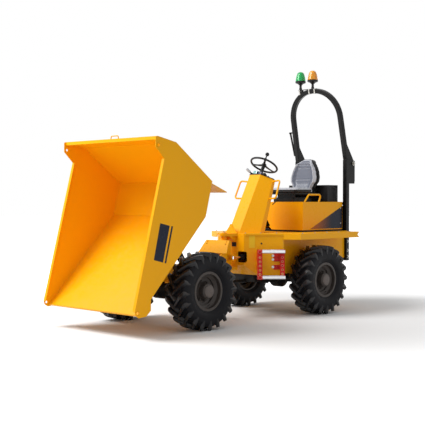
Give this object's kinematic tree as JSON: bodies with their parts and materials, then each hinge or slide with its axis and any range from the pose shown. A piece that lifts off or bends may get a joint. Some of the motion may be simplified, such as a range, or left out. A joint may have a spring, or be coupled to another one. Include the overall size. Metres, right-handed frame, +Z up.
{
  "type": "site dumper",
  "caption": "Articulated site dumper with a front-tipping skip, shown tipped, open driver's seat, folding roll bar and four lugged wheels.",
  "frame": {"origin": "on the ground under the articulation pin, midway between the machine's ends", "axes": "+X forward towards the skip, +Y the machine's left, +Z up"},
  "size_m": [4.182, 1.565, 3.1338],
  "materials": {
    "paint_yellow": "semi gloss",
    "paint_black": "semi gloss",
    "paint_charcoal": "satin",
    "paint_red": "semi gloss",
    "tyre": "matte",
    "cast": "matte",
    "steel": "satin",
    "chrome_rod": "polished",
    "alloy": "satin",
    "vinyl": "satin",
    "black_plastic": "matte",
    "seal_rubber": "matte",
    "green_lens": "gloss",
    "amber_lens": "gloss"
  },
  "bodies": {
    "rear_frame": {"rear_chassis": "paint_yellow", "deck_plate": "paint_yellow", "console_tower": "paint_yellow", "steering_column": "steel", "dash_panel": "black_plastic", "console_handrails": "paint_yellow", "step_left": "paint_red", "step_treads": "alloy", "cover_seal": "seal_rubber", "engine_block": "cast", "transmission_guard": "paint_black", "tail_grille": "paint_black", "tow_hitch": "paint_black", "roll_bar_posts": "paint_black", "rear_axle": "paint_black"},
    "front_frame": {"front_chassis": "paint_yellow", "yoke_guard": "paint_yellow", "front_axle": "paint_black"},
    "skip": {"skip_side_left": "paint_yellow", "skip_side_right": "paint_yellow", "skip_headboard": "paint_yellow", "skip_bottom": "paint_yellow", "skip_floor": "paint_yellow", "skip_underframe": "paint_yellow", "skip_heel_guard": "paint_yellow"},
    "roll_bar": {"roll_bar_hoop": "paint_black", "beacon_green": "green_lens", "beacon_amber": "amber_lens"},
    "seat_and_cover": {"engine_cover": "paint_yellow", "seat_base": "paint_black", "seat_cushion": "vinyl", "seat_back": "vinyl", "rear_air_box": "black_plastic"},
    "steering_wheel": {"steering_wheel": "black_plastic"},
    "tip_ram_barrel": {"tip_ram_barrel": "paint_black"},
    "tip_ram_rod": {"tip_ram_rod": "chrome_rod"},
    "steer_ram_barrel": {"steer_ram_barrel": "paint_black"},
    "steer_ram_rod": {"steer_ram_rod": "chrome_rod"},
    "wheel_front_left": {"tyre_front_left": "tyre", "rim_front_left": "paint_charcoal"},
    "wheel_front_right": {"tyre_front_right": "tyre", "rim_front_right": "paint_charcoal"},
    "wheel_rear_left": {"tyre_rear_left": "tyre", "rim_rear_left": "paint_charcoal"},
    "wheel_rear_right": {"tyre_rear_right": "tyre", "rim_rear_right": "paint_charcoal"}
  },
  "joints": [
    {"name": "steer", "type": "hinge", "parent": "rear_frame", "child": "front_frame", "pos_m": [0, 0, 0.76], "axis": [0, 0, 1], "range_deg": [-30, 30]},
    {"name": "skip_tip", "type": "hinge", "parent": "front_frame", "child": "skip", "pos_m": [1.16, 0, 0.92], "axis": [0, 1, 0], "range_deg": [-72, 0]},
    {"name": "roll_bar_fold", "type": "hinge", "parent": "rear_frame", "child": "roll_bar", "pos_m": [-2.045, 0, 1.89], "axis": [0, 1, 0], "range_deg": [-115, 0]},
    {"name": "cover_lift", "type": "hinge", "parent": "rear_frame", "child": "seat_and_cover", "pos_m": [-1.893, 0, 1.358], "axis": [0, 1, 0], "range_deg": [-45, 0]},
    {"name": "steering_wheel_turn", "type": "hinge", "parent": "rear_frame", "child": "steering_wheel", "pos_m": [-0.739, 0, 1.842], "axis": [-0.515, 0, 0.8572], "continuous": true},
    {"name": "tip_ram_swing", "type": "hinge", "parent": "front_frame", "child": "tip_ram_barrel", "pos_m": [0.55, 0, 0.48], "axis": [0, 1, 0], "range_deg": [-0.5, 7.35]},
    {"name": "tip_ram_slide", "type": "slide", "parent": "tip_ram_barrel", "child": "tip_ram_rod", "axis": [0.5608, 0, 0.828], "range_m": [-0.3301, 0.002]},
    {"name": "steer_ram_swing", "type": "hinge", "parent": "rear_frame", "child": "steer_ram_barrel", "pos_m": [-0.42, 0.165, 0.718], "axis": [0, 0, 1], "range_deg": [-5.15, 5.15]},
    {"name": "steer_ram_slide", "type": "slide", "parent": "steer_ram_barrel", "child": "steer_ram_rod", "axis": [0.997, 0.0769, 0], "range_m": [-0.1036, 0.1036]},
    {"name": "front_left_roll", "type": "hinge", "parent": "front_frame", "child": "wheel_front_left", "pos_m": [1.03, 0.64, 0.4225], "axis": [0, 1, 0], "continuous": true},
    {"name": "front_right_roll", "type": "hinge", "parent": "front_frame", "child": "wheel_front_right", "pos_m": [1.03, -0.64, 0.4225], "axis": [0, 1, 0], "continuous": true},
    {"name": "rear_left_roll", "type": "hinge", "parent": "rear_frame", "child": "wheel_rear_left", "pos_m": [-1.03, 0.64, 0.4225], "axis": [0, 1, 0], "continuous": true},
    {"name": "rear_right_roll", "type": "hinge", "parent": "rear_frame", "child": "wheel_rear_right", "pos_m": [-1.03, -0.64, 0.4225], "axis": [0, 1, 0], "continuous": true}
  ],
  "couplings": [
    {"joint": "tip_ram_swing", "follows": "skip_tip", "ratio": -0.09519},
    {"joint": "tip_ram_slide", "follows": "skip_tip", "m_per_rad": 0.26113},
    {"joint": "steer_ram_swing", "follows": "steer", "ratio": 0.155},
    {"joint": "steer_ram_slide", "follows": "steer", "m_per_rad": -0.194}
  ]
}
